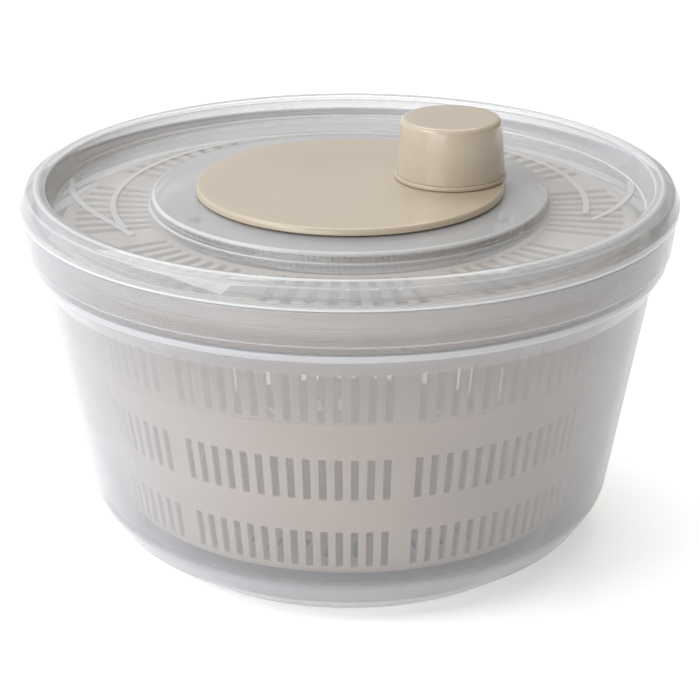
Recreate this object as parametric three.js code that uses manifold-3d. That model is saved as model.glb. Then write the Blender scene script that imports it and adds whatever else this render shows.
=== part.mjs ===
// Salad spinner: a frosted bowl, a slotted basket on a centre pivot, and a clear lid that carries
// a disc crank. The crank turns a ring gear; three idlers pass the turn to a small sun gear, which
// spins the slotted basket cover four times as fast. Units are millimetres and +Z is up. The origin
// is the middle of the bowl's foot, on the table.
import * as THREE from 'three';
import { mergeVertices } from 'three/addons/utils/BufferGeometryUtils.js';
import Module from 'manifold-3d';

const wasm = await Module();
wasm.setup();

// ---------------------------------------------------------------- driving dimensions
const GAP = 0.3;                // left between pieces that rest on or sit in each other
const FINE = 36;                // facets round the large turned pieces
const MEDIUM = 28;              // facets round the knob and the mid-sized pieces
const COARSE = 12;              // facets round pins, screws and small holes

const RIM_R = 125;              // outer radius of the lid, the widest ring
const WALL = 2;                 // wall of the moulded shells

const FOOT_R = 79.5;            // outer radius of the ring that the bowl stands on
const FOOT_WIDTH = 4;
const BOWL_FLOOR_Z = 2.5;       // underside of the bowl's floor
const BOWL_TOP_Z = 134;
const BOWL_RIM_R = 124.2;
const SPIKE_R = 4.2;            // pivot spike in the middle of the bowl
const SPIKE_TOP_Z = 16.5;

const BASKET_FLOOR_Z = 18;      // underside of the basket's floor
const BASKET_TOP_Z = 124;
const BASKET_FLOOR_R = 84.5;
const BASKET_HEEL_R = 89.4;     // outer radius just above the rounded bottom edge
const BASKET_RIM_R = 107.6;
const SOCKET_R = 8;             // socket under the basket that stands on the spike
const SOCKET_BOTTOM_Z = 12.5;
const SLOT_WIDTH = 2.8;
const SLOT_GROUPS = 7;
const SLOTS_PER_GROUP = 14;
const SLOT_PITCH = THREE.MathUtils.degToRad(3.43);
const SLOT_TURN = THREE.MathUtils.degToRad(50.2);       // middle of the first group
const SLOT_ROWS = [[23, 38], [51.5, 68], [84, 102]];    // lowest and highest Z of each row
const FLOOR_SLOT_INNER = 42;
const FLOOR_SLOT_OUTER = 76;
const FLOOR_SLOTS_PER_GROUP = 3;
const FLOOR_SLOT_PITCH = THREE.MathUtils.degToRad(12);

const COVER_TOP_Z = 129;
const COVER_R = 111;
const COVER_SKIRT_Z = 86.5;     // lower edge of the cover's deep skirt
const COVER_SKIRT_R = 108.5;
const WELL_R = 71.5;            // well in the cover that leaves room for the gears
const WELL_FLOOR_Z = 115;
const COVER_SLOT_GROUPS = 8;
const COVER_SLOTS_PER_GROUP = 8;
const COVER_SLOT_PITCH = THREE.MathUtils.degToRad(4.5);
const COVER_SLOT_TURN = THREE.MathUtils.degToRad(-1.2);
const PLATE_SLOT = { inner: 76, outer: 105, width: 3.6 };
const WELL_SLOT = { inner: 54, outer: 68, width: 2.6 };

const DOME_R = 75.5;            // raised middle of the lid
const DOME_TOP_Z = 138;
const DOME_OPENING_R = 38.3;    // the crank's neck turns in this opening
const RECESS_Z = 133.6;         // flat ring between the dome and the rim
const RIDGE_Z = 143.6;         // top of the lid's rim
const PLUG_R = 120.4;           // wall of the lid that drops inside the bowl
const PLUG_BOTTOM_Z = 126;
const GEARBOX_SCREW_R = 64;     // distance of the three gearbox screws from the axis
const GEARBOX_SCREW_TURN = THREE.MathUtils.degToRad(-30);

const DISC_R = 59;
const DISC_TOP_Z = 141;
const DISC_BOTTOM_Z = DOME_TOP_Z + 0.5;
const NECK_R = 37.7;
const NECK_INNER_R = 24;

const KNOB_X = 38.5;
const KNOB_Y = 6;
const KNOB_BASE_R = 21.5;
const KNOB_TOP_R = 19.2;
const KNOB_TOP_Z = 164.5;
const POST_R = 4.6;             // post on the disc that the knob turns on
const POST_TOP_Z = 156.2;

const GEAR_MODULE = 2;
const RING_TEETH = 48;
const IDLER_TEETH = 18;
const SUN_TEETH = 12;
const PRESSURE_ANGLE = THREE.MathUtils.degToRad(25);
const ADDENDUM = 0.8 * GEAR_MODULE;
const DEDENDUM = 1.0 * GEAR_MODULE;
const FLANK_PLAY = 0.2;         // taken off each flank, along the pitch circle
const IDLER_ORBIT_R = GEAR_MODULE * (SUN_TEETH + IDLER_TEETH) / 2;
const IDLER_TURN = THREE.MathUtils.degToRad(30);
const GEAR_BOTTOM_Z = 123;
const GEAR_TOP_Z = 131.2;
const RING_R = 57;              // outside of the drum that carries the ring gear's teeth
const WEB_Z = 131.9;            // underside of the ring gear's web
const WEB_TOP_Z = 135.5;

const PLATE_Z = 119.6;          // underside of the gearbox plate
const PLATE_TOP_Z = 122.6;
const PLATE_R = 44;
const SHAFT_R = 4;
const BUSH_R = 6.2;
const PIN_R = 2;
const SCREW_R = 1.4;
const HUB_R = 18;               // corner radius of the six-sided drive hub

// ---------------------------------------------------------------- solids
// The three angles that the idlers and the two sets of three screws stand at, the first at turn.
const thirds = (turn) => [0, 1, 2].map((k) => turn + k * 2 * Math.PI / 3);

function isDegenerate(a, b, c) {
  return a === b || b === c || c === a;
}

// Welds a geometry's vertices, drops collapsed triangles and makes the faces point outwards.
function toSolid(geometry) {
  const bare = geometry.index ? geometry.toNonIndexed() : geometry.clone();
  bare.deleteAttribute('normal');
  bare.deleteAttribute('uv');
  const welded = mergeVertices(bare, 1e-4);
  const index = welded.index.array;
  const kept = [];
  for (let i = 0; i < index.length; i += 3) {
    if (!isDegenerate(index[i], index[i + 1], index[i + 2])) {
      kept.push(index[i], index[i + 1], index[i + 2]);
    }
  }
  const vertProperties = new Float32Array(welded.attributes.position.array);
  if (signedVolume(vertProperties, kept) < 0) {
    kept.reverse();
  }
  return new wasm.Manifold(new wasm.Mesh({ numProp: 3, vertProperties, triVerts: new Uint32Array(kept) }));
}

function signedVolume(positions, index) {
  const corner = (i) => new THREE.Vector3().fromArray(positions, 3 * index[i]);
  let sum = 0;
  for (let i = 0; i < index.length; i += 3) {
    sum += corner(i).dot(corner(i + 1).cross(corner(i + 2))) / 6;
  }
  return sum;
}

function toGeometry(solid) {
  const mesh = solid.getMesh();
  const geometry = new THREE.BufferGeometry();
  geometry.setAttribute('position', new THREE.BufferAttribute(new Float32Array(mesh.vertProperties), 3));
  geometry.setIndex(new THREE.BufferAttribute(new Uint32Array(mesh.triVerts), 1));
  geometry.computeVertexNormals();
  return geometry;
}

// A turned solid. The profile is a list of [radius, z] points that starts and ends on the axis,
// or a closed outline when closed is true.
function turned(profile, facets, closed = false) {
  const points = profile.map(([r, z]) => new THREE.Vector2(r, z));
  if (closed) {
    points.push(points[0].clone());
  }
  return toSolid(new THREE.LatheGeometry(points, facets).rotateX(Math.PI / 2));
}

function rod(radius, z0, z1, facets = COARSE) {
  return turned([[0, z0], [radius, z0], [radius, z1], [0, z1]], facets);
}

function ring(inner, outer, z0, z1, facets = COARSE) {
  return turned([[inner, z0], [outer, z0], [outer, z1], [inner, z1]], facets, true);
}

function block(x0, x1, width, z0, z1) {
  const geometry = new THREE.BoxGeometry(x1 - x0, width, z1 - z0);
  return toSolid(geometry.translate((x0 + x1) / 2, 0, (z0 + z1) / 2));
}

function extruded(outline, z0, z1, hole = null) {
  const shape = new THREE.Shape(outline);
  if (hole) {
    shape.holes.push(new THREE.Path(hole));
  }
  const geometry = new THREE.ExtrudeGeometry(shape, { depth: z1 - z0, bevelEnabled: false });
  return toSolid(geometry.translate(0, 0, z0));
}

const degrees = THREE.MathUtils.radToDeg;
const spun = (solid, turn) => solid.rotate([0, 0, degrees(turn)]);
const moved = (solid, x, y, z = 0) => solid.translate([x, y, z]);
const atPolar = (solid, radius, turn) => moved(solid, radius * Math.cos(turn), radius * Math.sin(turn));

function cut(solid, cutters) {
  return cutters.reduce((rest, cutter) => rest.subtract(cutter), solid);
}

// Angles of the slots: groups all round, the first centred on turn.
function slotAngles(groups, perGroup, pitch, turn) {
  const angles = [];
  for (let group = 0; group < groups; group += 1) {
    const middle = turn + group * 2 * Math.PI / groups;
    for (let k = 0; k < perGroup; k += 1) {
      angles.push(middle + (k - (perGroup - 1) / 2) * pitch);
    }
  }
  return angles;
}

// ---------------------------------------------------------------- gears
const involute = (angle) => Math.tan(angle) - angle;

// Half the angle that a tooth fills at one radius; inside is true for an internal gear.
function halfTooth(teeth, radius, inside) {
  const pitchR = GEAR_MODULE * teeth / 2;
  const baseR = pitchR * Math.cos(PRESSURE_ANGLE);
  const angleAt = Math.acos(Math.min(1, baseR / radius));
  const half = Math.PI / (2 * teeth) - FLANK_PLAY / pitchR;
  const change = involute(PRESSURE_ANGLE) - involute(angleAt);
  return half + (inside ? -change : change);
}

// Outline of a gear, with the middle of its first tooth at angle turn.
function gearOutline(teeth, turn, inside) {
  const pitchR = GEAR_MODULE * teeth / 2;
  const outwards = inside ? -1 : 1;
  const rootR = pitchR - outwards * DEDENDUM;
  const tipR = pitchR + outwards * ADDENDUM;
  const points = [];
  for (let k = 0; k < teeth; k += 1) {
    const middle = turn + k * 2 * Math.PI / teeth;
    const radii = inside ? [rootR, tipR] : [rootR, pitchR, tipR];
    const flank = radii.map((r) => [r, halfTooth(teeth, r, inside)]);
    const back = flank.slice().reverse();
    flank.forEach(([r, half]) => points.push(polar(r, middle - half)));
    back.forEach(([r, half]) => points.push(polar(r, middle + half)));
  }
  return points;
}

function polar(radius, angle) {
  return new THREE.Vector2(radius * Math.cos(angle), radius * Math.sin(angle));
}

function circle(radius, facets) {
  return Array.from({ length: facets }, (_, k) => polar(radius, k * 2 * Math.PI / facets));
}

// ---------------------------------------------------------------- bowl and basket
// The bowl stands on a foot ring; its shoulder steps out to carry the lid.
function bowl() {
  const outside = [
    [FOOT_R - FOOT_WIDTH, 0], [FOOT_R, 0], [93, 9.6], [101.2, 21.6], [108.6, 62],
    [116.3, 107.8], [121, 112.6], [121.6, 118.4], [122.8, 119.2], [BOWL_RIM_R, BOWL_TOP_Z],
  ];
  const inside = [
    [BOWL_RIM_R - WALL, BOWL_TOP_Z], [121.2, 122.2], [119.2, 117.4], [118.9, 112.8], [114.3, 108.6],
    [106.6, 62.4], [99.2, 22.6], [91.6, 11.4], [82, BOWL_FLOOR_Z + WALL],
  ];
  const middle = [
    [22, BOWL_FLOOR_Z + WALL], [SPIKE_R, 11.8], [SPIKE_R, SPIKE_TOP_Z - 1], [0, SPIKE_TOP_Z],
  ];
  const underside = [[0, 8.5], [20, BOWL_FLOOR_Z], [FOOT_R - FOOT_WIDTH, BOWL_FLOOR_Z]];
  return turned([...underside, ...outside, ...inside, ...middle], FINE);
}

function basketShell() {
  const top = BASKET_TOP_Z;
  const outside = [
    [SOCKET_R, SOCKET_BOTTOM_Z], [SOCKET_R, BASKET_FLOOR_Z], [BASKET_FLOOR_R, BASKET_FLOOR_Z],
    [BASKET_HEEL_R, 21.5], [BASKET_RIM_R - 1, top - 4], [BASKET_RIM_R, top - 3], [BASKET_RIM_R, top],
  ];
  const inside = [
    [BASKET_RIM_R - WALL - 1, top], [BASKET_HEEL_R - WALL, 22.4],
    [BASKET_FLOOR_R - WALL, BASKET_FLOOR_Z + WALL], [0, BASKET_FLOOR_Z + WALL],
  ];
  const socketR = SPIKE_R + 2 * GAP;
  const socket = [[0, SPIKE_TOP_Z + 0.5], [socketR, SPIKE_TOP_Z + 0.5], [socketR, SOCKET_BOTTOM_Z]];
  return turned([...socket, ...outside, ...inside], FINE);
}

// Three rows of upright slots in the wall, and spokes of slots in the floor.
function basket() {
  const cutters = [];
  for (const angle of slotAngles(SLOT_GROUPS, SLOTS_PER_GROUP, SLOT_PITCH, SLOT_TURN)) {
    for (const [low, high] of SLOT_ROWS) {
      cutters.push(spun(block(BASKET_FLOOR_R - 4, BASKET_RIM_R + 3, SLOT_WIDTH, low, high), angle));
    }
  }
  const floorLow = BASKET_FLOOR_Z - 1;
  const floorHigh = BASKET_FLOOR_Z + WALL + 1;
  for (const angle of slotAngles(SLOT_GROUPS, FLOOR_SLOTS_PER_GROUP, FLOOR_SLOT_PITCH, SLOT_TURN)) {
    cutters.push(spun(block(FLOOR_SLOT_INNER, FLOOR_SLOT_OUTER, SLOT_WIDTH, floorLow, floorHigh), angle));
  }
  return cut(basketShell(), cutters);
}

// ---------------------------------------------------------------- basket cover and drive
// A plate with a deep skirt that caps the basket. Its well has a six-sided pocket for the hub.
function basketCover() {
  const top = COVER_TOP_Z;
  const floor = WELL_FLOOR_Z;
  const profile = [
    [SCREW_R + GAP, floor - WALL], [WELL_R + 0.4, floor - WALL], [WELL_R + 1.8, top - WALL],
    [COVER_R - 4.4, top - WALL], [COVER_R - 1.8, top - 4.6], [COVER_SKIRT_R - 1.8, COVER_SKIRT_Z],
    [COVER_SKIRT_R, COVER_SKIRT_Z], [COVER_R, top - 4], [COVER_R - 1.2, top - 1.2],
    [COVER_R - 4, top], [WELL_R, top], [WELL_R - 1.2, floor], [22, floor], [22, floor + 2.3],
    [SCREW_R + GAP, floor + 2.3],
  ];
  const cutters = [toSolid(hexagon(HUB_R + GAP, floor, floor + 4))];
  const slots = slotAngles(COVER_SLOT_GROUPS, COVER_SLOTS_PER_GROUP, COVER_SLOT_PITCH, COVER_SLOT_TURN);
  for (const angle of slots) {
    cutters.push(spun(slotBlock(PLATE_SLOT, top - WALL - 1, top + 1), angle));
    cutters.push(spun(slotBlock(WELL_SLOT, floor - WALL - 1, floor + 1), angle));
  }
  return cut(turned(profile, FINE, true), cutters);
}

function slotBlock({ inner, outer, width }, z0, z1) {
  return block(inner, outer, width, z0, z1);
}

function hexagon(radius, z0, z1) {
  const geometry = new THREE.CylinderGeometry(radius, radius, z1 - z0, 6);
  return geometry.rotateX(Math.PI / 2).translate(0, 0, (z0 + z1) / 2);
}

function driveHub() {
  const base = WELL_FLOOR_Z + GAP;
  const flange = toSolid(hexagon(HUB_R, base, base + WALL));
  const barrel = rod(2 * SHAFT_R, base, PLATE_Z - 0.4, MEDIUM);
  return flange.add(barrel).subtract(rod(SHAFT_R + GAP, base - 1, PLATE_Z, COARSE));
}

function sunGear() {
  const shaftBottom = WELL_FLOOR_Z + 2 * GAP;
  const shaft = rod(SHAFT_R, shaftBottom, WEB_TOP_Z - 0.9);
  const teeth = extruded(gearOutline(SUN_TEETH, 0, false), GEAR_BOTTOM_Z + 1, GEAR_TOP_Z);
  return shaft.add(teeth).subtract(rod(SCREW_R + GAP, shaftBottom - 1, shaftBottom + 7));
}

function screw(shankR, headR, headZ, shoulderZ, tipZ) {
  const low = Math.min(headZ, shoulderZ);
  const high = Math.max(headZ, shoulderZ);
  const head = rod(headR, low, high);
  const overlap = (low + high) / 2;
  const shank = rod(shankR, Math.min(overlap, tipZ), Math.max(overlap, tipZ));
  return head.add(shank);
}

const washerTop = WELL_FLOOR_Z - WALL - GAP;
const hubWasher = () => ring(SCREW_R + GAP, 7, washerTop - 1, washerTop);
const hubScrew = () => screw(SCREW_R, 4, washerTop - 3.2, washerTop - 1 - GAP, WELL_FLOOR_Z + 6);

// ---------------------------------------------------------------- lid and gearbox
// Clear lid: a domed middle with the crank's opening, a flat recess, and a hollow ridge whose
// outer flange rests on the bowl's rim while its inner wall drops inside the rim.
function lid() {
  const flangeZ = BOWL_TOP_Z + GAP;
  const outside = [
    [DOME_OPENING_R, DOME_TOP_Z], [DOME_R - 1.6, DOME_TOP_Z], [DOME_R, DOME_TOP_Z - 1.4],
    [DOME_R + 0.6, RECESS_Z], [112.2, RECESS_Z], [115.2, RIDGE_Z - 0.7], [118.6, RIDGE_Z],
    [122.6, RIDGE_Z - 1.8], [RIM_R, RIDGE_Z - 6.2], [RIM_R, flangeZ],
  ];
  const inside = [
    [PLUG_R, flangeZ], [PLUG_R, PLUG_BOTTOM_Z], [PLUG_R - 1.8, PLUG_BOTTOM_Z],
    [PLUG_R - 1.8, RIDGE_Z - 2.4], [116.6, RIDGE_Z - 2.6], [113.8, RECESS_Z - WALL],
    [DOME_R - 1.4, RECESS_Z - WALL], [DOME_R - 2.2, DOME_TOP_Z - 2.2],
    [DOME_OPENING_R, DOME_TOP_Z - 2.2],
  ];
  const shell = turned([...outside, ...inside], FINE, true);
  const bossBottom = PLATE_TOP_Z + GAP;
  let body = shell;
  for (const turn of thirds(GEARBOX_SCREW_TURN)) {
    const boss = rod(3.8, bossBottom, DOME_TOP_Z - 1);
    const screwHole = rod(SCREW_R + GAP, bossBottom - 1, bossBottom + 9);
    body = body.add(atPolar(boss, GEARBOX_SCREW_R, turn));
    body = body.subtract(atPolar(screwHole, GEARBOX_SCREW_R, turn));
  }
  return body;
}

// Three-armed plate that carries the idler pins and the bush of the sun gear's shaft.
function gearboxPlate() {
  const armEnd = 5.4;
  let plate = rod(PLATE_R, PLATE_Z, PLATE_TOP_Z, MEDIUM);
  for (const turn of thirds(GEARBOX_SCREW_TURN)) {
    plate = plate.add(spun(block(20, GEARBOX_SCREW_R, 2 * armEnd, PLATE_Z, PLATE_TOP_Z), turn));
    plate = plate.add(atPolar(rod(armEnd, PLATE_Z, PLATE_TOP_Z), GEARBOX_SCREW_R, turn));
  }
  const cutters = [rod(BUSH_R + GAP, PLATE_Z - 1, PLATE_TOP_Z + 1)];
  for (const turn of thirds(GEARBOX_SCREW_TURN)) {
    cutters.push(atPolar(rod(SCREW_R + GAP, PLATE_Z - 1, PLATE_TOP_Z + 1), GEARBOX_SCREW_R, turn));
  }
  for (const turn of thirds(IDLER_TURN)) {
    cutters.push(atPolar(rod(PIN_R + GAP, PLATE_Z - 1, PLATE_TOP_Z + 1), IDLER_ORBIT_R, turn));
  }
  return cut(plate, cutters);
}

const shaftBush = () => ring(SHAFT_R + GAP, BUSH_R, PLATE_Z, GEAR_BOTTOM_Z + 0.6);
const idlerPin = () => rod(PIN_R, PLATE_Z + GAP, GEAR_TOP_Z);
const gearboxScrew = () => screw(SCREW_R, 3, PLATE_Z - 2.2, PLATE_Z - GAP, PLATE_TOP_Z + 8);

// An idler faces both the sun gear and the ring gear with a gap between two of its teeth.
function idlerGear(bearing) {
  const firstTooth = bearing + Math.PI + Math.PI / IDLER_TEETH;
  const outline = gearOutline(IDLER_TEETH, firstTooth, false);
  const bore = rod(PIN_R + GAP, GEAR_BOTTOM_Z - 1, GEAR_TOP_Z + 1);
  return extruded(outline, GEAR_BOTTOM_Z, GEAR_TOP_Z).subtract(bore);
}

// ---------------------------------------------------------------- crank and knob
function ringGear() {
  const toothGaps = gearOutline(RING_TEETH, 0, true);
  const teeth = extruded(circle(RING_R, FINE), GEAR_BOTTOM_Z + 0.5, WEB_Z + 1, toothGaps);
  const web = rod(RING_R, WEB_Z, WEB_TOP_Z, FINE);
  const cutters = [rod(SHAFT_R + 0.4, WEB_Z - 1, WEB_TOP_Z - 0.5)];
  for (const turn of thirds(IDLER_TURN)) {
    cutters.push(atPolar(rod(3, WEB_Z - 1, WEB_Z + 2.4), IDLER_ORBIT_R, turn));
    cutters.push(atPolar(rod(SCREW_R + GAP, WEB_Z, WEB_TOP_Z + 1), IDLER_ORBIT_R, turn));
  }
  return cut(teeth.add(web), cutters);
}

const ringGearScrew = () => screw(SCREW_R, 2.7, WEB_Z + GAP, WEB_Z + 2.1, DISC_BOTTOM_Z + 0.6);

// Disc crank: a round plate above the dome, with a neck that reaches down through the opening
// and a post that the knob turns on.
function crankDisc() {
  const profile = [
    [NECK_INNER_R, WEB_TOP_Z + GAP], [NECK_R, WEB_TOP_Z + GAP], [NECK_R, DISC_BOTTOM_Z],
    [DISC_R - 0.4, DISC_BOTTOM_Z], [DISC_R, DISC_BOTTOM_Z + 0.4], [DISC_R, DISC_TOP_Z - 0.7],
    [DISC_R - 0.7, DISC_TOP_Z], [0, DISC_TOP_Z],
  ];
  const underside = [[0, DISC_BOTTOM_Z], [NECK_INNER_R, DISC_BOTTOM_Z]];
  const post = moved(rod(POST_R, DISC_TOP_Z - 1, POST_TOP_Z), KNOB_X, KNOB_Y);
  const postHole = moved(rod(SCREW_R + GAP, POST_TOP_Z - 11, POST_TOP_Z + 1), KNOB_X, KNOB_Y);
  const cutters = [postHole];
  for (const turn of thirds(IDLER_TURN)) {
    cutters.push(atPolar(rod(SCREW_R + GAP, WEB_TOP_Z, DISC_BOTTOM_Z + 1), IDLER_ORBIT_R, turn));
  }
  return cut(turned([...underside, ...profile], FINE).add(post), cutters);
}

const CORE_Z = DISC_TOP_Z + GAP;
const CORE_FLANGE_Z = CORE_Z + 1.7;

// Inner part of the knob: a flange that shows as a bead under the shell, and a bearing sleeve.
function knobCore() {
  const boreR = POST_R + GAP;
  return turned([
    [boreR, CORE_Z], [KNOB_BASE_R - 0.4, CORE_Z], [KNOB_BASE_R, CORE_Z + 0.5],
    [KNOB_BASE_R, CORE_FLANGE_Z - 0.4], [KNOB_BASE_R - 0.4, CORE_FLANGE_Z], [8, CORE_FLANGE_Z],
    [7.5, POST_TOP_Z - GAP], [boreR, POST_TOP_Z - GAP],
  ], MEDIUM, true);
}

function knobShell() {
  const base = CORE_FLANGE_Z + GAP;
  const top = KNOB_TOP_Z;
  return turned([
    [0, top - WALL], [KNOB_TOP_R - 3, top - WALL], [KNOB_TOP_R - 2.1, top - 3.4],
    [KNOB_BASE_R - 2.6, base], [KNOB_BASE_R - 0.6, base], [KNOB_TOP_R, top - 2.2],
    [KNOB_TOP_R - 0.7, top - 0.7], [KNOB_TOP_R - 2.2, top], [0, top],
  ], MEDIUM);
}

const knobWasher = () => ring(SCREW_R + GAP, 6.8, POST_TOP_Z + GAP, POST_TOP_Z + GAP + 1);
const knobScrew = () => screw(SCREW_R, 3.4, POST_TOP_Z + 4, POST_TOP_Z + 1 + 2 * GAP, POST_TOP_Z - 10);

// ---------------------------------------------------------------- materials and assembly
function plastic(color, roughness, opacity = 1) {
  const transparent = opacity < 1;
  return new THREE.MeshStandardMaterial({ color, roughness, metalness: 0, opacity, transparent });
}

const beige = () => plastic(0xcbc2b3, 0.35);
const basketBeige = () => plastic(0xc4bab0, 0.45);
const frosted = () => plastic(0xe4e6ea, 0.5, 0.45);
const clear = () => plastic(0xe8ecee, 0.08, 0.3);
const gearWhite = () => plastic(0xdfdcd2, 0.5);
const steel = () => new THREE.MeshStandardMaterial({ color: 0xb9bcc0, roughness: 0.3, metalness: 1 });

const spinner = new THREE.Group();

function addPiece(name, solid, material, x = 0, y = 0) {
  const mesh = new THREE.Mesh(toGeometry(solid), material);
  mesh.name = name;
  mesh.position.set(x, y, 0);
  spinner.add(mesh);
}

addPiece('bowl', bowl(), frosted());
addPiece('basket', basket(), basketBeige());
addPiece('basket_cover', basketCover(), basketBeige());
addPiece('drive_hub', driveHub(), gearWhite());
addPiece('hub_washer', hubWasher(), steel());
addPiece('hub_screw', hubScrew(), steel());
addPiece('sun_gear', sunGear(), gearWhite());
addPiece('shaft_bush', shaftBush(), gearWhite());
addPiece('gearbox_plate', gearboxPlate(), gearWhite());
addPiece('lid', lid(), clear());
addPiece('ring_gear', ringGear(), gearWhite());
addPiece('crank_disc', crankDisc(), beige());
addPiece('knob_core', knobCore(), beige(), KNOB_X, KNOB_Y);
addPiece('knob_shell', knobShell(), beige(), KNOB_X, KNOB_Y);
addPiece('knob_washer', knobWasher(), steel(), KNOB_X, KNOB_Y);
addPiece('knob_screw', knobScrew(), steel(), KNOB_X, KNOB_Y);

thirds(IDLER_TURN).forEach((turn, k) => {
  const place = polar(IDLER_ORBIT_R, turn);
  addPiece(`idler_gear_${k + 1}`, idlerGear(turn), gearWhite(), place.x, place.y);
  addPiece(`idler_pin_${k + 1}`, idlerPin(), steel(), place.x, place.y);
  addPiece(`ring_gear_screw_${k + 1}`, ringGearScrew(), steel(), place.x, place.y);
});

thirds(GEARBOX_SCREW_TURN).forEach((turn, k) => {
  const place = polar(GEARBOX_SCREW_R, turn);
  addPiece(`gearbox_screw_${k + 1}`, gearboxScrew(), steel(), place.x, place.y);
});

export default spinner;
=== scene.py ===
"""Looks of the salad spinner: fine meshes, moulded-plastic materials, studio light and the camera."""
import math

import bmesh
import bpy
import numpy as np
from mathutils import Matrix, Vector


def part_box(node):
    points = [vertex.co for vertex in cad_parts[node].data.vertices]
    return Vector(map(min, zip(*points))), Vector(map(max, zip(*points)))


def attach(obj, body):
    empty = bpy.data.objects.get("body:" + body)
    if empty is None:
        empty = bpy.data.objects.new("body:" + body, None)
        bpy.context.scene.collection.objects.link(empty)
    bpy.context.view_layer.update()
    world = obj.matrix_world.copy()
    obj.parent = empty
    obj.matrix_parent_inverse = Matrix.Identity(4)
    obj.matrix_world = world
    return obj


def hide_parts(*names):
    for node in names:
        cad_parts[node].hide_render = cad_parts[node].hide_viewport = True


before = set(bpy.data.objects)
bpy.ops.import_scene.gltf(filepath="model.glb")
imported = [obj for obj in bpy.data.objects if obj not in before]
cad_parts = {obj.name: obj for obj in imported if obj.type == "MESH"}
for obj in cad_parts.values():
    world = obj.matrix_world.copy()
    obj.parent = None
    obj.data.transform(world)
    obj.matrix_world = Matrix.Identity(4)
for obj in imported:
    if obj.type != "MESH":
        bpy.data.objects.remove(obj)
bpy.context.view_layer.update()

MM = 0.001
ROUND = 192                     # facets round the large turned pieces
WALL = 2.0                      # wall of the moulded shells
STRETCH = 4.0                   # longest stretch in the outline of a slotted shell

# Driving dimensions in mm.
GAP = 0.3                       # between the bowl's rim and the lid's flange
LID_RECESS_Z = 133.6            # flat ring between the dome and the rim
LID_DOME_Z = 138.0
LID_DOME_R = 75.5
LID_OPENING_R = 38.3            # the crank's neck turns in this opening
PLUG_R = 120.4                  # wall of the lid that drops inside the bowl
PLUG_BOTTOM_Z = 126.0
PLUG_WALL = 1.8
STEP_Z = 120.8                  # top of the step in the bowl's shoulder
DISC_BOTTOM_Z = 138.5
DISC_TOP_Z = 141.0
POST_TOP_Z = 156.2              # post on the disc that the knob turns on
SCREW_HOLE_R = 1.7
BASKET_FLOOR_R = 80.0           # where the floor goes over into the wall
BASKET_FLOOR_Z = 19.0           # middle of the floor's thickness
COVER_WELL_Z = 114.0
COVER_WALL = 1.9
RING_TEETH = 48
GEAR_MODULE = 2.0
RING_WEB_Z = 131.9

# Slots: how many groups, how many in each, and their pitch, width and turn in degrees.
BASKET_GROUPS = 7
BASKET_SLOTS = 14
BASKET_PITCH = 3.43
BASKET_SLOT_WIDTH = 1.68
BASKET_TURN = 255.6 - 180 / BASKET_GROUPS
BASKET_ROWS = [(22.8, 37.8), (51.6, 68.4), (84.0, 102.8)]
FLOOR_SLOTS = 5
FLOOR_PITCH = 8.4
FLOOR_SLOT_WIDTH = 2.8
FLOOR_ROWS = [(40, 56), (61, 77)]
COVER_GROUPS = 8
COVER_SLOTS = 8
COVER_PITCH = 4.5
COVER_SLOT_WIDTH = 2.35
COVER_TURN = -23.7
COVER_ROWS = [(76, 104.5), (54, 68)]

# Floor, light and camera, in metres and degrees.
FLOOR_SIZE = 8.0
WORLD_LEFT = (0.98, 1.02, 1.08, 1.0)
WORLD_RIGHT = (0.24, 0.20, 0.15, 1.0)
WORLD_STRENGTH = 1.03
LIGHT_AIM = Vector((0, 0, 0.08))
STRIP_PLACES = (-0.18, 0.0, 0.18, 0.36)
CAMERA_ELEVATION = 21.7
CAMERA_DISTANCE = 0.870
CAMERA_AIM_Z = 0.070


# ---------------------------------------------------------------- outlines
def filleted(corners, steps=5):
    """Points of an outline through corners (r, z, fillet), all in mm, with an arc at each fillet."""
    points = []
    for i, (r, z, fillet) in enumerate(corners):
        here = Vector((r, z))
        if fillet <= 0 or i in (0, len(corners) - 1):
            points.append(here)
            continue
        before = Vector(corners[i - 1][:2]) - here
        after = Vector(corners[i + 1][:2]) - here
        half = before.angle(after) / 2
        reach = min(fillet / math.tan(half), 0.49 * before.length, 0.49 * after.length)
        radius = reach * math.tan(half)
        middle = (before.normalized() + after.normalized()).normalized() * (radius / math.sin(half))
        start = before.normalized() * reach - middle
        end = after.normalized() * reach - middle
        turn = start.angle_signed(end)
        for k in range(steps + 1):
            angle = -turn * k / steps
            spoke = Vector((start.x * math.cos(angle) - start.y * math.sin(angle),
                            start.x * math.sin(angle) + start.y * math.cos(angle)))
            points.append(here + middle + spoke)
    return [(p.x * MM, p.y * MM) for p in points]


def resampled(points, step):
    """The same outline with no stretch longer than step."""
    out = [points[0]]
    for (r0, z0), (r1, z1) in zip(points, points[1:]):
        pieces = max(1, math.ceil(math.hypot(r1 - r0, z1 - z0) / step))
        out += [(r0 + (r1 - r0) * k / pieces, z0 + (z1 - z0) * k / pieces) for k in range(1, pieces + 1)]
    return out


def normals_of(points):
    """Unit normals of an outline, on its right-hand side as it runs."""
    p = np.array(points)
    along = np.gradient(p, axis=0)
    along /= np.linalg.norm(along, axis=1)[:, None]
    return np.stack([along[:, 1], -along[:, 0]], 1)


# ---------------------------------------------------------------- meshes
def mesh_object(name, vertices, faces, sharp_deg=35):
    mesh = bpy.data.meshes.new(name)
    mesh.from_pydata([tuple(v) for v in vertices], [], faces)
    obj = bpy.data.objects.new(name, mesh)
    bpy.context.scene.collection.objects.link(obj)
    tidy_mesh(obj, sharp_deg)
    return obj


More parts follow.
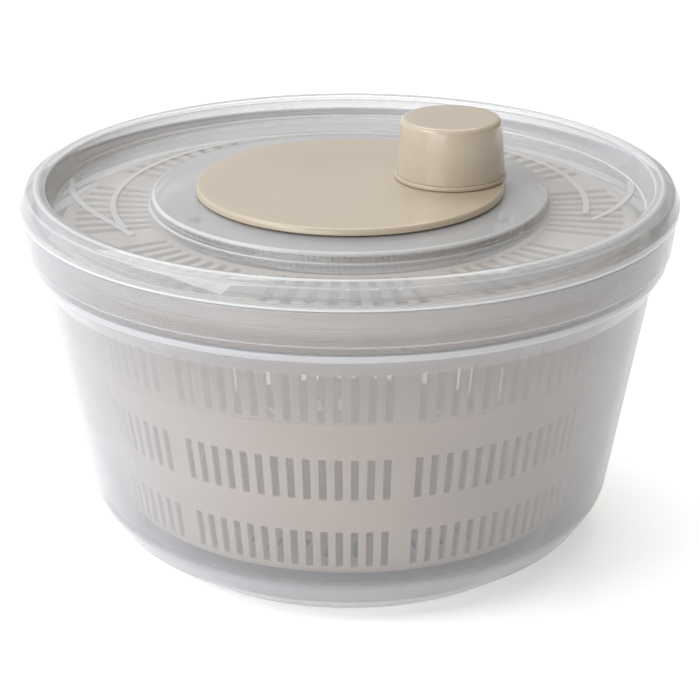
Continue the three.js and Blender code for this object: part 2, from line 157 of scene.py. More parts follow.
def tidy_mesh(obj, sharp_deg=35):
    """Welds doubles, points the faces outwards and shades smooth between sharp edges."""
    bm = bmesh.new()
    bm.from_mesh(obj.data)
    bmesh.ops.remove_doubles(bm, verts=bm.verts, dist=1e-6)
    bmesh.ops.dissolve_degenerate(bm, edges=bm.edges, dist=1e-7)
    bmesh.ops.recalc_face_normals(bm, faces=bm.faces)
    bm.to_mesh(obj.data)
    bm.free()
    obj.data.shade_smooth()
    obj.data.set_sharp_from_angle(angle=math.radians(sharp_deg))


def turned(name, outline, closed=False, facets=ROUND, centre=(0, 0)):
    """A turned solid; its outline starts and ends on the axis, or closes on itself."""
    angles = np.arange(facets) * 2 * math.pi / facets
    ring = [(centre[0] + r * math.cos(a), centre[1] + r * math.sin(a), z) for r, z in outline for a in angles]
    rows = len(outline)
    faces = []
    for i in range(rows if closed else rows - 1):
        low, high = i * facets, ((i + 1) % rows) * facets
        for k in range(facets):
            n = (k + 1) % facets
            faces.append((low + k, low + n, high + n, high + k))
    return mesh_object(name, ring, faces)


def slot_columns(groups, per_group, pitch_deg, width_deg, turn_deg=0.0, widest_deg=2.0):
    """Edges of the angular columns round a shell, in degrees, and whether each column is a slot."""
    edges, is_slot = [], []
    group_span = 360 / groups
    for g in range(groups):
        start = turn_deg + g * group_span
        marks = [(start + group_span / 2 + (k - (per_group - 1) / 2) * pitch_deg) for k in range(per_group)]
        stops = [start] + [m + s * width_deg / 2 for m in marks for s in (-1, 1)] + [start + group_span]
        for i, (a, b) in enumerate(zip(stops, stops[1:])):
            pieces = max(1, math.ceil((b - a) / widest_deg))
            edges += [a + (b - a) * k / pieces for k in range(pieces)]
            is_slot += [i % 2 == 1] * pieces
    return np.radians(edges), is_slot


def slotted(name, middle, thickness, columns, slot_bands):
    """A thin turned shell with slots. middle is the outline of the middle of its wall, from the axis
    outwards; slot_bands says, for each stretch of it, whether the slot columns are open there."""
    angles, is_slot = columns
    count, rows = len(angles), len(middle)
    side = normals_of(middle) * (thickness / 2)
    vertices = []
    for sign in (1, -1):
        for (r, z), (nr, nz) in zip(middle, side):
            radius, height = max(0.0, r + sign * nr), z + sign * nz
            vertices += [(radius * math.cos(a), radius * math.sin(a), height) for a in angles]

    def at(layer, corner):
        row, column = corner
        return (layer * rows + row) * count + column % count

    def solid(row, column):
        return 0 <= row < rows - 1 and not (slot_bands[row] and is_slot[column % count])

    faces = []
    for row in range(rows - 1):
        for c in range(count):
            if not solid(row, c):
                continue
            corners = [(row, c), (row, c + 1), (row + 1, c + 1), (row + 1, c)]
            faces.append([at(0, corners[k]) for k in (0, 1, 2, 3)])
            faces.append([at(1, corners[k]) for k in (1, 0, 3, 2)])
            neighbours = [(row - 1, c), (row, c + 1), (row + 1, c), (row, c - 1)]
            for k, neighbour in enumerate(neighbours):
                if not solid(*neighbour):
                    a, b = corners[k], corners[(k + 1) % 4]
                    faces.append([at(0, b), at(0, a), at(1, a), at(1, b)])
    return mesh_object(name, vertices, faces)


def bevelled(obj, width, segments=2, angle_deg=50):
    """Rounds an object's sharp edges with an applied bevel."""
    modifier = obj.modifiers.new("soft_edges", "BEVEL")
    modifier.width, modifier.segments = width, segments
    modifier.limit_method, modifier.angle_limit = "ANGLE", math.radians(angle_deg)
    modifier.harden_normals = False
    apply_modifiers(obj)
    obj.data.shade_smooth()
    obj.data.set_sharp_from_angle(angle=math.radians(angle_deg))


def apply_modifiers(obj):
    depsgraph = bpy.context.evaluated_depsgraph_get()
    mesh = bpy.data.meshes.new_from_object(obj.evaluated_get(depsgraph))
    obj.modifiers.clear()
    obj.data = mesh


def joined(obj, others):
    """Makes one solid of obj and the others."""
    for other in others:
        modifier = obj.modifiers.new("join", "BOOLEAN")
        modifier.operation, modifier.solver, modifier.object = "UNION", "EXACT", other
        apply_modifiers(obj)
        bpy.data.objects.remove(other)
    tidy_mesh(obj)


def strip(name, path, width, low, high, crown=0.25 * MM):
    """A raised rib along a path of (x, y) points, with a flat top and sloped sides."""
    p = np.array(path)
    along = np.gradient(p, axis=0)
    along /= np.linalg.norm(along, axis=1)[:, None]
    across = np.stack([-along[:, 1], along[:, 0]], 1)
    section = [(-width / 2, low), (width / 2, low), (width / 2, high - crown), (width / 2 - crown, high),
               (-width / 2 + crown, high), (-width / 2, high - crown)]
    vertices = [(x + nx * off, y + ny * off, z) for (x, y), (nx, ny) in zip(p, across) for off, z in section]
    m = len(section)
    faces = [tuple(range(m)), tuple(range((len(p) - 1) * m, len(p) * m))]
    for i in range(len(p) - 1):
        for k in range(m):
            n = (k + 1) % m
            faces.append((i * m + k, i * m + n, (i + 1) * m + n, (i + 1) * m + k))
    return mesh_object(name, vertices, faces)


# ---------------------------------------------------------------- materials
class Nodes:
    """A short way to write a procedural material."""

    def __init__(self, name):
        self.material = bpy.data.materials.new(name)
        self.material.use_nodes = True
        self.tree = self.material.node_tree
        self.tree.nodes.clear()
        self.place = self.add("ShaderNodeTexCoord").outputs["Object"]
        self.output = self.add("ShaderNodeOutputMaterial")

    def add(self, kind, **settings):
        node = self.tree.nodes.new(kind)
        for key, value in settings.items():
            setattr(node, key, value)
        return node

    def feed(self, socket, value):
        if isinstance(value, bpy.types.NodeSocket):
            self.tree.links.new(value, socket)
        else:
            socket.default_value = value

    def noise(self, scale, detail=4.0, roughness=0.55, stretch=(1, 1, 1)):
        mapping = self.add("ShaderNodeMapping")
        mapping.inputs["Scale"].default_value = stretch
        self.feed(mapping.inputs["Vector"], self.place)
        node = self.add("ShaderNodeTexNoise")
        self.feed(node.inputs["Vector"], mapping.outputs["Vector"])
        node.inputs["Scale"].default_value = scale
        node.inputs["Detail"].default_value = detail
        node.inputs["Roughness"].default_value = roughness
        return node.outputs["Fac"]

    def spread(self, value, low, high, out_low, out_high):
        node = self.add("ShaderNodeMapRange")
        self.feed(node.inputs["Value"], value)
        for key, number in zip(("From Min", "From Max", "To Min", "To Max"), (low, high, out_low, out_high)):
            node.inputs[key].default_value = number
        return node.outputs["Result"]

    def blend(self, factor, first, second):
        node = self.add("ShaderNodeMix", data_type="RGBA")
        self.feed(node.inputs[0], factor)
        self.feed(node.inputs[6], first)
        self.feed(node.inputs[7], second)
        return node.outputs[2]

    def bump(self, height, strength, distance):
        node = self.add("ShaderNodeBump")
        node.inputs["Strength"].default_value = strength
        node.inputs["Distance"].default_value = distance
        self.feed(node.inputs["Height"], height)
        return node.outputs["Normal"]

    def total(self, first, second, operation="ADD"):
        node = self.add("ShaderNodeMath", operation=operation)
        self.feed(node.inputs[0], first)
        self.feed(node.inputs[1], second)
        return node.outputs[0]

    def edges(self, radius):
        """1 along worn edges and corners, 0 on flat faces."""
        node = self.add("ShaderNodeBevel")
        node.inputs["Radius"].default_value = radius
        plain = self.add("ShaderNodeNewGeometry")
        dot = self.add("ShaderNodeVectorMath", operation="DOT_PRODUCT")
        self.feed(dot.inputs[0], node.outputs["Normal"])
        self.feed(dot.inputs[1], plain.outputs["Normal"])
        return self.spread(dot.outputs["Value"], 0.995, 0.9, 0.0, 1.0)

    def principled(self, **values):
        node = self.add("ShaderNodeBsdfPrincipled")
        for key, value in values.items():
            self.feed(node.inputs[key.replace("_", " ")], value)
        return node

    def mixed(self, factor, first, second):
        node = self.add("ShaderNodeMixShader")
        self.feed(node.inputs[0], factor)
        self.feed(node.inputs[1], first)
        self.feed(node.inputs[2], second)
        return node.outputs["Shader"]

    def length(self, first, second):
        """The length of a vector with these two parts."""
        squares = self.total(self.total(first, 2.0, "POWER"), self.total(second, 2.0, "POWER"))
        return self.total(squares, 0.5, "POWER")

    def between(self, value, low, high, full, none, extra):
        """extra where value lies between low and high, in mm, fading from full to none half-widths."""
        middle, half = (low + high) / 2 * MM, (high - low) / 2 * MM
        away = self.total(self.total(value, middle, "SUBTRACT"), 0.0, "ABSOLUTE")
        return self.spread(away, half * full, half * none, extra, 0.0)

    def finish(self, shader):
        self.tree.links.new(shader, self.output.inputs["Surface"])
        return self.material


def rgba(r, g, b):
    return (r, g, b, 1.0)


def moulded_plastic(name, colour, roughness, coat=0.0, scatter=0.0, skirt=None):
    """Moulded plastic: faint flow marks, fine grain, hairline scratches and rubbed edges. skirt is
    (height in mm, how much the plastic below that height hides of what lies behind it)."""
    n = Nodes(name)
    darker = rgba(*[c * 0.94 for c in colour])
    lighter = rgba(*[min(1.0, c * 1.04) for c in colour])
    flow = n.noise(14.0, 3.0, 0.5, (1, 1, 2.5))
    tone = n.blend(n.spread(flow, 0.3, 0.7, 0.0, 1.0), darker, lighter)
    rubbed = rgba(*[min(1.0, c * 1.12 + 0.02) for c in colour])
    worn = n.total(n.edges(0.5 * MM), n.spread(n.noise(90.0), 0.4, 0.6, 0.1, 0.6), "MULTIPLY")
    grain = n.noise(2600.0, 2.0, 0.5)
    swirls = n.noise(900.0, 3.0, 0.6, (1, 3, 1))
    height = n.total(grain, n.spread(swirls, 0.66, 0.74, 0.0, 0.3))
    gloss = n.spread(n.noise(35.0, 5.0, 0.65), 0.3, 0.7, roughness * 0.88, roughness * 1.15)
    shader = n.principled(Base_Color=n.blend(worn, tone, rubbed), Roughness=gloss,
                          Normal=n.bump(height, 0.05, 0.02 * MM))
    shader.inputs["IOR"].default_value = 1.5
    shader.inputs["Coat Weight"].default_value = coat
    shader.inputs["Coat Roughness"].default_value = 0.06
    shader.inputs["Subsurface Weight"].default_value = scatter
    shader.inputs["Subsurface Radius"].default_value = (0.004, 0.003, 0.0025)
    if skirt:
        skirt_z, skirt_hides = skirt
        parts = n.add("ShaderNodeSeparateXYZ")
        n.feed(parts.inputs[0], n.place)
        hides = n.spread(parts.outputs["Z"], (skirt_z - 2) * MM, (skirt_z + 2) * MM, skirt_hides, 1.0)
        n.feed(shader.inputs["Alpha"], hides)
    return n.finish(shader.outputs["BSDF"])


def see_through_plastic(name, colour, veil_front, veil_edge, gloss_roughness, grain, passed,
                        painted_glints, bands, inner=None):
    """See-through plastic: a pale veil that thickens where the wall is seen edge-on, and a clear gloss.
    painted_glints lists (radius, z, reach, extra veil) of turned edges, in mm, where a ring of extra veil
    paints the highlight they would catch; bands lists (low z, high z, extra veil) of stretches painted
    milkier, for a thicker wall and, on the bowl, for painted light on its shoulder and foot; inner is
    (radius, radius, extra veil) of one flat ring.
    passed is the share of the light that gets through one face of the plastic."""
    n = Nodes(name)
    cloud = n.noise(26.0, 4.0, 0.6)
    darker = rgba(*[c * 0.95 for c in colour])
    tone = n.blend(n.spread(cloud, 0.3, 0.7, 0.0, 1.0), darker, rgba(*colour))
    facing = n.add("ShaderNodeLayerWeight")
    facing.inputs["Blend"].default_value = 0.5
    grazing = facing.outputs["Facing"]

    # How much the veil hides, from the view, the height and the distance from the axis
    veil = n.spread(n.total(grazing, 1.6, "POWER"), 0.0, 1.0, veil_front, veil_edge)
    veil = n.total(veil, n.spread(cloud, 0.3, 0.7, -0.012, 0.012))
    parts = n.add("ShaderNodeSeparateXYZ")
    n.feed(parts.inputs[0], n.place)
    height = parts.outputs["Z"]
    radius = n.length(parts.outputs["X"], parts.outputs["Y"])
    # Painted highlights: a ring of extra veil round each turned edge that would catch the light.
    for ring_r, ring_z, reach, extra in painted_glints:
        sideways = n.total(radius, ring_r * MM, "SUBTRACT")
        upwards = n.total(height, ring_z * MM, "SUBTRACT")
        away = n.length(sideways, upwards)
        veil = n.total(veil, n.spread(away, 0.35 * reach * MM, reach * MM, extra, 0.0))
    # Extra veil on stretches with a thicker wall; on the bowl this also paints the lit shoulder and the
    # brighter foot.
    for low, high, extra in bands:
        veil = n.total(veil, n.between(height, low, high, 0.75, 1.2, extra))
    if inner:
        low, high, extra = inner
        veil = n.total(veil, n.between(radius, low, high, 0.97, 1.03, extra))
    specks = n.spread(n.noise(420.0, 3.0, 0.7), 0.70, 0.75, 0.0, 0.03)
    veil = n.total(veil, specks)

    normal = n.bump(n.noise(1500.0, 3.0, 0.6), grain, 0.02 * MM)
    haze = n.principled(Base_Color=tone, Normal=normal,
                        Roughness=n.spread(n.noise(60.0, 4.0, 0.6), 0.3, 0.7, 0.35, 0.5))
    haze.inputs["Specular IOR Level"].default_value = 0.2
    clear = n.add("ShaderNodeBsdfTransparent")
    clear.inputs["Color"].default_value = rgba(passed, passed, passed)
    body = n.mixed(veil, clear.outputs["BSDF"], haze.outputs["BSDF"])
    mirror = n.add("ShaderNodeBsdfAnisotropic")
    mirror.inputs["Roughness"].default_value = gloss_roughness
    schlick = n.spread(n.total(grazing, 5.0, "POWER"), 0.0, 1.0, 0.04, 0.8)
    return n.finish(n.mixed(schlick, body, mirror.outputs["BSDF"]))


def plated_steel(name):
    """Zinc-plated steel: fine turning marks round the piece, and an uneven bright grey."""
    n = Nodes(name)
    turning = n.noise(700.0, 3.0, 0.6, (1, 1, 14))
    patches = n.spread(n.noise(160.0), 0.3, 0.7, 0.0, 1.0)
    tone = n.blend(patches, rgba(0.50, 0.51, 0.53), rgba(0.66, 0.67, 0.69))
    shader = n.principled(Base_Color=tone, Roughness=n.spread(turning, 0.3, 0.7, 0.22, 0.42),
                          Normal=n.bump(turning, 0.15, 0.03 * MM))
    shader.inputs["Metallic"].default_value = 1.0
    return n.finish(shader.outputs["BSDF"])


def pale_floor(name):
    """A white floor that glows faintly, so that it looks as bright as the world behind it."""
    n = Nodes(name)
    patches = n.spread(n.noise(3.0), 0.3, 0.7, 0.0, 1.0)
    tone = n.blend(patches, rgba(0.93, 0.93, 0.93), rgba(0.95, 0.95, 0.95))
    shader = n.principled(Base_Color=tone, Roughness=0.8)
    shader.inputs["Emission Color"].default_value = rgba(1.0, 1.0, 1.0)
    shader.inputs["Emission Strength"].default_value = 0.36
    return n.finish(shader.outputs["BSDF"])


CRANK = moulded_plastic("crank_beige", (0.455, 0.383, 0.288), roughness=0.24, coat=0.4)
BASKET = moulded_plastic("basket_beige", (0.600, 0.500, 0.418), roughness=0.42, scatter=0.1)
COVER = moulded_plastic("cover_beige", (0.670, 0.590, 0.510), roughness=0.35, skirt=(120.0, 0.28))
GEAR = moulded_plastic("gear_acetal", (0.620, 0.600, 0.570), roughness=0.42, scatter=0.1)
BOWL = see_through_plastic(
    "bowl_frosted", (0.410, 0.410, 0.425), veil_front=0.16, veil_edge=0.88, gloss_roughness=0.26,
    grain=0.05, passed=0.975,
    # Painted highlights along the step, the rim's two edges and the foot's edge.
    painted_glints=[(122.9, 120.8, 0.6, 0.5), (124.2, 134.0, 1.0, 0.5), (122.2, 134.0, 1.0, 0.5),
            (79.4, 0.2, 1.6, 0.4)],
    # Bands: painted light on the shoulder's top, and the foot and the bottom painted brighter.
    bands=[(114.3, 117.2, 0.80), (-1.0, 2.6, 0.75), (-1.0, 19.0, 0.25)])
LID = see_through_plastic(
    "lid_clear", (0.575, 0.580, 0.585), veil_front=0.14, veil_edge=0.78, gloss_roughness=0.04,
    grain=0.0, passed=0.985,
    # Painted highlights along the dome's edges, the recess, the ridge, the flange and the plug.
    painted_glints=[(75.2, 137.6, 1.1, 0.6), (73.6, 136.0, 0.8, 0.3), (76.1, 133.7, 0.7, 0.3),
            (112.5, 133.8, 0.8, 0.3), (118.6, 143.6, 1.5, 0.6), (115.4, 142.6, 0.7, 0.4),
            (122.6, 141.8, 0.8, 0.3), (125.0, 134.5, 1.2, 0.7), (119.5, 126.2, 0.8, 0.1)],
    bands=[(133.9, 134.4, 0.45)], inner=(77.0, 112.0, -0.20))
STEEL = plated_steel("plated_steel")
FLOOR = pale_floor("floor_pale")


def dressed(obj, material, body, slot, *nodes):
    """Gives a piece its material, and says which body it rides on and which CAD nodes it stands for."""
    obj.data.materials.clear()
    obj.data.materials.append(material)
    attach(obj, body)
    if nodes:
        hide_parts(*nodes)


# ---------------------------------------------------------------- the pieces
def top_of(node):
    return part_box(node)[1].z / MM


def bottom_of(node):
    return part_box(node)[0].z / MM


def radius_of(node):
    low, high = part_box(node)
    return (high.x - low.x) / 2 / MM


def centre_of(node):
    low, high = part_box(node)
    return ((low.x + high.x) / 2, (low.y + high.y) / 2)


def make_bowl():
    """Turned shell with a foot ring, a stepped shoulder, and the spike that the basket spins on."""
    top, rim = top_of("bowl"), radius_of("bowl")
    underside = [(0, 8.5, 0), (7, 8.2, 2), (20, 2.5, 3), (76, 2.5, 0.4)]
    outside = [(76, 0, 0), (79.3, 0, 0.6), (93, 9.4, 10), (101.2, 21.6, 16), (116.3, 107.8, 3),
               (121.3, 115.8, 1.4), (121.7, STEP_Z - 0.8, 0.4), (122.9, STEP_Z, 0.4), (rim, top, 0.9)]
    inside = [(rim - WALL, top, 0.9), (121.0, 122.2, 3), (119.4, 117.4, 2), (118.6, 114.6, 2),
              (114.3, 108.6, 3), (99.2, 22.6, 15), (91.4, 11.4, 9), (82, 4.5, 4), (22, 4.5, 3)]
    spike = [(4.2, 11.8, 0.5), (4.2, 16.5, 1.2), (0, 16.5, 0)]
    bowl = turned("bowl_shell", filleted(underside + outside + inside + spike))
    dressed(bowl, BOWL, "bowl", "bowl_plastic", "bowl")


def make_basket():
    """Slotted wall, slotted floor, and the closed socket that stands on the bowl's spike."""
    top, floor_z = top_of("basket"), BASKET_FLOOR_Z
    outline = filleted([(84.0, floor_z, 0), (89.0, 20.4, 3.0), (104.9, top - 4, 1),
                        (105.2, top - 2.4, 0.8), (106.6, top - 1.6, 0)])
    wall = resampled([(BASKET_FLOOR_R * MM, floor_z * MM)] + outline, STRETCH * MM)
    wall = with_stops(wall, 1, [z for row in BASKET_ROWS for z in row])
    bands = [open_at(wall, i, BASKET_ROWS, []) for i in range(len(wall) - 1)]
    columns = slot_columns(BASKET_GROUPS, BASKET_SLOTS, BASKET_PITCH, BASKET_SLOT_WIDTH, BASKET_TURN)
    basket = slotted("basket_shell", wall, WALL * MM, columns, bands)

    floor = [(4.0 * MM, floor_z * MM), ((BASKET_FLOOR_R + 0.3) * MM, floor_z * MM)]
    floor = resampled(floor, STRETCH * MM)
    floor = with_stops(floor, 0, [r for row in FLOOR_ROWS for r in row])
    bands = [open_at(floor, i, [], FLOOR_ROWS) for i in range(len(floor) - 1)]
    columns = slot_columns(BASKET_GROUPS, FLOOR_SLOTS, FLOOR_PITCH, FLOOR_SLOT_WIDTH, BASKET_TURN)
    bottom = slotted("basket_floor", floor, WALL * MM, columns, bands)

    outline = filleted([(0, 17.2, 0), (4.8, 17.2, 0.2), (4.8, 12.5, 0.2), (7.6, 12.5, 0.4),
                        (8.2, 19.6, 0.8), (7.2, 20.4, 0.6), (0, 20.6, 0)])
    socket = turned("basket_socket", outline, facets=64)
    for piece in (basket, bottom):
        bevelled(piece, 0.22 * MM)
    dressed(basket, BASKET, "basket", "basket_plastic", "basket")
    for piece in (bottom, socket):
        dressed(piece, BASKET, "basket", "basket_plastic")


def with_stops(points, axis, stops):
    """Adds points to an outline where its radius (axis 0) or height (axis 1) passes each stop, in mm.
    Stops in radius count only on level stretches."""
    out = [points[0]]
    for a, b in zip(points, points[1:]):
        low, high = sorted((a[axis], b[axis]))
        level = abs(a[1] - b[1]) < 0.5 * MM
        inside = [s * MM for s in stops if low + 1e-6 < s * MM < high - 1e-6 and (axis == 1 or level)]
        for s in sorted(inside, reverse=a[axis] > b[axis]):
            t = (s - a[axis]) / (b[axis] - a[axis])
            out.append((a[0] + (b[0] - a[0]) * t, a[1] + (b[1] - a[1]) * t))
        out.append(b)
    return out


def open_at(points, i, wall_rows, level_rows):
    """Whether the stretch after point i lies within a row of slots: rows up a wall are given by their
    heights, and rows in a level stretch by their radii, in mm."""
    (r0, z0), (r1, z1) = points[i], points[i + 1]
    if abs(z0 - z1) < 0.5 * MM:
        return any(low < (r0 + r1) / 2 / MM < high for low, high in level_rows)
    return any(low < (z0 + z1) / 2 / MM < high for low, high in wall_rows)


def make_cover():
    """Slotted plate with a sunken middle, and a skirt that comes down outside the basket's rim."""
    top, low, rim = top_of("basket_cover"), bottom_of("basket_cover"), radius_of("basket_cover")
    middle = filleted([(1.9, COVER_WELL_Z, 0), (70.6, COVER_WELL_Z, 1.5), (72.4, top - 1, 1.5),
                       (rim - 1.2, top - 1, 3.5), (107.6, low, 0)])
    middle = resampled(middle, STRETCH * MM)
    middle = with_stops(middle, 0, [r for row in COVER_ROWS for r in row])
    bands = [open_at(middle, i, [], COVER_ROWS) for i in range(len(middle) - 1)]
    columns = slot_columns(COVER_GROUPS, COVER_SLOTS, COVER_PITCH, COVER_SLOT_WIDTH, COVER_TURN)
    cover = slotted("cover_plate", middle, COVER_WALL * MM, columns, bands)
    bevelled(cover, 0.2 * MM)
    dressed(cover, COVER, "drive", "basket_plastic", "basket_cover")


def polar_path(knots, steps=10):
    """A smooth path through (angle in degrees, radius in mm) knots."""
    path = []
    padded = [knots[0]] + knots + [knots[-1]]
    for k in range(1, len(padded) - 2):
        for s in range(steps):
            t = s / steps
            a, r = (catmull(*[padded[k + j][i] for j in (-1, 0, 1, 2)], t) for i in (0, 1))
            path.append((r * MM * math.cos(math.radians(a)), r * MM * math.sin(math.radians(a))))
    a, r = knots[-1]
    path.append((r * MM * math.cos(math.radians(a)), r * MM * math.sin(math.radians(a))))
    return path


def catmull(p0, p1, p2, p3, t):
    return 0.5 * (2 * p1 + (p2 - p0) * t + (2 * p0 - 5 * p1 + 4 * p2 - p3) * t * t
                  + (3 * p1 - p0 - 3 * p2 + p3) * t ** 3)


def make_lid():
    """Turned shell, three raised arcs on its flat recess, and the bosses of the gearbox screws."""
    rim, ridge = radius_of("lid"), top_of("lid")
    flange = top_of("bowl") + GAP
    recess, dome = LID_RECESS_Z, LID_DOME_Z
    outside = [(LID_OPENING_R, dome, 0.6), (LID_DOME_R, dome, 1.6), (76.1, recess, 0.8),
               (112.4, recess, 1.0), (115.2, ridge - 0.9, 1.0), (118.6, ridge, 1.4),
               (122.8, ridge - 1.8, 2.6), (rim, ridge - 6.4, 2.0), (rim, flange, 0.4)]
    plug = [(PLUG_R, flange, 0.6), (PLUG_R, PLUG_BOTTOM_Z, 0.5), (PLUG_R - PLUG_WALL, PLUG_BOTTOM_Z, 0.5)]
    inside = [(PLUG_R - PLUG_WALL, ridge - 2.4, 0.9), (116.6, ridge - 2.8, 0.9),
              (113.8, recess - WALL, 0.8), (74.1, recess - WALL, 0.8), (73.4, dome - 2.2, 0.8),
              (LID_OPENING_R, dome - 2.2, 0.4)]
    lid = turned("lid_shell", filleted(outside + plug + inside), closed=True)

    arcs = [
        [(angle, 90.0) for angle in range(-12, 205, 6)],
        [(209, 90.2), (201, 92.0), (193.5, 95.4), (184, 101.6), (175, 107.4), (167, 111.6)],
        [(-16, 93.6), (-11, 97.6), (-5.6, 101.7), (0, 105.6), (6, 109.4), (11, 111.8)],
    ]
    rib_width, low, high = 2.6 * MM, (recess - 0.5) * MM, (recess + 0.55) * MM
    ribs = [strip(f"rib_{i}", polar_path(arc), rib_width, low, high) for i, arc in enumerate(arcs)]
    boss_low, boss_top = 122.9, 136.6
    outline = filleted([(0, 131, 0), (SCREW_HOLE_R, 131, 0), (SCREW_HOLE_R, boss_low, 0),
                        (3.8, boss_low, 0.4), (4.0, boss_top, 0), (0, boss_top, 0)])
    bosses = [turned(f"boss_{k}", outline, facets=40, centre=centre_of(f"gearbox_screw_{k}"))
              for k in (1, 2, 3)]
    joined(lid, ribs + bosses)
    dressed(lid, LID, "lid", "clear_plastic", "lid")


def make_crank():
    """The disc with its neck and the knob's post, and the two parts of the knob."""
    disc_r, low, top = radius_of("crank_disc"), DISC_BOTTOM_Z, DISC_TOP_Z
    neck_low = 135.8
    outline = filleted([(0, low, 0), (24, low, 0), (24, neck_low, 0), (37.7, neck_low, 0.4),
                        (37.7, low, 0.3), (disc_r, low, 0.4), (disc_r - 0.6, top, 1.3), (52, top, 0),
                        (0, top, 0)])
    disc = turned("crank_plate", outline)
    centre = centre_of("knob_core")
    outline = filleted([(0, 140, 0), (5.4, 140, 0), (4.6, 142.4, 1.0), (4.6, POST_TOP_Z, 0.4),
                        (SCREW_HOLE_R, POST_TOP_Z, 0), (SCREW_HOLE_R, 145.2, 0), (0, 145.2, 0)])
    post = turned("knob_post", outline, facets=48, centre=centre)
    joined(disc, [post])
    dressed(disc, CRANK, "crank", "crank_plastic", "crank_disc")

    flange_low, flange_top, core_top = 141.15, 142.9, 155.9
    outline = filleted([(4.9, flange_low, 0.2), (21.5, flange_low, 0.5), (21.5, flange_top, 0.5),
                        (8, flange_top, 0.8), (7.5, core_top, 0.4), (4.9, core_top, 0.3)])
    core = turned("knob_flange", outline, closed=True, facets=96, centre=centre)
    dressed(core, CRANK, "knob", "crank_plastic", "knob_core")

    top, low = top_of("knob_shell"), 142.95
    outline = filleted([(0, top - 2, 0), (16.8, top - 2, 1.4), (18.8, low, 0), (20.9, low, 0.2),
                        (19.2, top - 0.2, 2.2), (14, top - 0.05, 6), (0, top, 0)], steps=8)
    cap = turned("knob_cap", outline, facets=96, centre=centre)
    dressed(cap, CRANK, "knob", "crank_plastic", "knob_shell")


def make_drum():
    """Ring gear: a drum with fine upright ribs outside and gear teeth inside."""
    outer, pitch_r = radius_of("ring_gear"), RING_TEETH * GEAR_MODULE / 2
    low, web, high = bottom_of("ring_gear"), RING_WEB_Z, top_of("ring_gear")
    count, rib_count, rib_height, hole_r = 960, 160, 0.35, 4.4

    def tooth_depth(angle):
        wave = 1.9 * math.cos(angle * RING_TEETH)
        return max(-1.0, min(1.0, wave)) * 0.9 * GEAR_MODULE

    def radius_at(kind, angle):
        if kind == "out":
            return outer - rib_height + rib_height * max(0.0, math.cos(angle * rib_count)) ** 2
        if kind == "top":
            return outer - 0.9
        return hole_r if kind == "hole" else pitch_r - tooth_depth(angle)

    rings = [("out", low), ("out", high - 0.4), ("top", high), ("hole", high), ("hole", web),
             ("in", web), ("in", low)]
    vertices = []
    for kind, z in rings:
        for k in range(count):
            angle = 2 * math.pi * k / count
            r = radius_at(kind, angle)
            vertices.append((r * MM * math.cos(angle), r * MM * math.sin(angle), z * MM))
    faces = []
    for i in range(len(rings)):
        here, above = i * count, (i + 1) % len(rings) * count
        for k in range(count):
            n = (k + 1) % count
            faces.append((here + k, here + n, above + n, above + k))
    drum = mesh_object("gear_drum", vertices, faces)
    dressed(drum, GEAR, "crank", "gear_plastic", "ring_gear")


def finish_cad_nodes():
    """Materials for the CAD nodes that stay as they are."""
    for name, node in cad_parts.items():
        if node.hide_render:
            continue
        steel = name.endswith(("_washer", "_screw")) or "_screw_" in name or "_pin_" in name
        node.data.materials.clear()
        node.data.materials.append(STEEL if steel else GEAR)


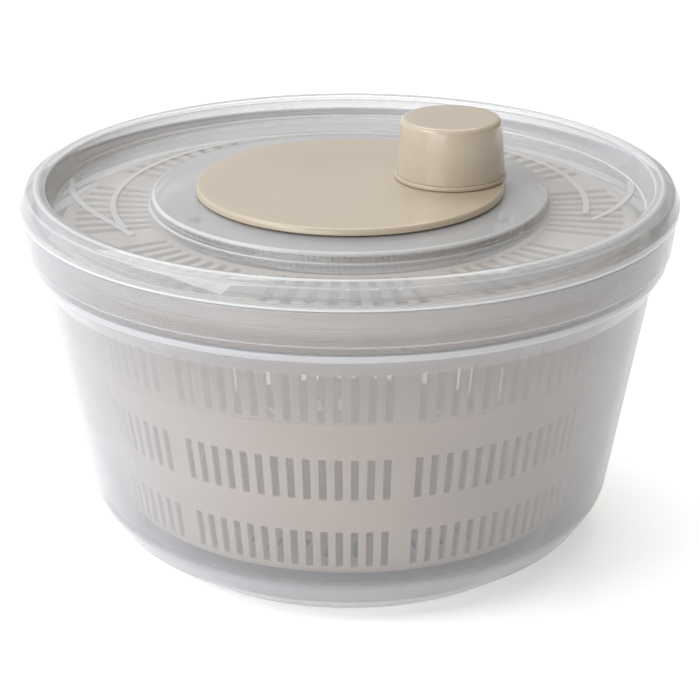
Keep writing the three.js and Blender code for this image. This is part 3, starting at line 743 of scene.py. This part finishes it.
# ---------------------------------------------------------------- stage, light and camera
def make_stage():
    """The floor, and a world that lights from the left and looks white to the camera."""
    bpy.ops.mesh.primitive_plane_add(size=FLOOR_SIZE)
    floor = bpy.context.object
    floor.name = "floor"
    floor.data.materials.append(FLOOR)
    world = bpy.data.worlds.new("studio")
    bpy.context.scene.world = world
    world.use_nodes = True
    tree = world.node_tree
    tree.nodes.clear()
    place = tree.nodes.new("ShaderNodeTexCoord")
    parts = tree.nodes.new("ShaderNodeSeparateXYZ")
    ramp = tree.nodes.new("ShaderNodeMapRange")
    ramp.inputs["From Min"].default_value = -0.8
    ramp.inputs["From Max"].default_value = 0.8
    tint = tree.nodes.new("ShaderNodeMix")
    tint.data_type = "RGBA"
    tint.inputs[6].default_value = WORLD_LEFT
    tint.inputs[7].default_value = WORLD_RIGHT
    light = tree.nodes.new("ShaderNodeBackground")
    light.inputs["Strength"].default_value = WORLD_STRENGTH
    seen = tree.nodes.new("ShaderNodeBackground")
    seen.inputs["Color"].default_value = (1.0, 1.0, 1.0, 1.0)
    path = tree.nodes.new("ShaderNodeLightPath")
    mix = tree.nodes.new("ShaderNodeMixShader")
    output = tree.nodes.new("ShaderNodeOutputWorld")
    link = tree.links.new
    link(place.outputs["Generated"], parts.inputs[0])
    link(parts.outputs["X"], ramp.inputs["Value"])
    link(ramp.outputs["Result"], tint.inputs[0])
    link(tint.outputs[2], light.inputs["Color"])
    link(path.outputs["Is Camera Ray"], mix.inputs[0])
    link(light.outputs[0], mix.inputs[1])
    link(seen.outputs[0], mix.inputs[2])
    link(mix.outputs[0], output.inputs["Surface"])


def soft_light(name, place, size, power):
    """A rectangular light at a place, turned towards the salad spinner; power is in watts."""
    data = bpy.data.lights.new(name, "AREA")
    data.shape, data.size, data.size_y = "RECTANGLE", size[0], size[1]
    data.energy = power
    light = bpy.data.objects.new(name, data)
    bpy.context.scene.collection.objects.link(light)
    light.location = place
    light.rotation_euler = (Vector(place) - LIGHT_AIM).to_track_quat("Z", "Y").to_euler()


def make_lights():
    soft_light("key_left", (-1.3, -0.7, 1.3), (1.2, 0.9), 17)
    soft_light("top_back", (-0.2, 1.2, 1.9), (1.8, 0.8), 17)
    soft_light("fill_front", (-0.8, -1.3, 0.35), (1.2, 0.6), 6)
    for i, x in enumerate(STRIP_PLACES):
        soft_light(f"strip_{i}", (x, -0.9, 1.5), (0.07, 0.035), 0.35)


def make_camera():
    """The camera at the photograph's viewing angle."""
    elevation = math.radians(CAMERA_ELEVATION)
    aim = Vector((0, 0, CAMERA_AIM_Z))
    data = bpy.data.cameras.new("camera")
    data.sensor_width = 36.0
    data.lens = 113.91
    data.shift_y = 0.0054
    camera = bpy.data.objects.new("camera", data)
    bpy.context.scene.collection.objects.link(camera)
    camera.location = aim + CAMERA_DISTANCE * Vector((0, -math.cos(elevation), math.sin(elevation)))
    camera.rotation_euler = (camera.location - aim).to_track_quat("Z", "Y").to_euler()
    bpy.context.scene.camera = camera


make_camera()
make_stage()
make_lights()
make_bowl()
make_basket()
make_cover()
make_lid()
make_crank()
make_drum()
finish_cad_nodes()
bpy.context.scene.view_settings.view_transform = "Standard"
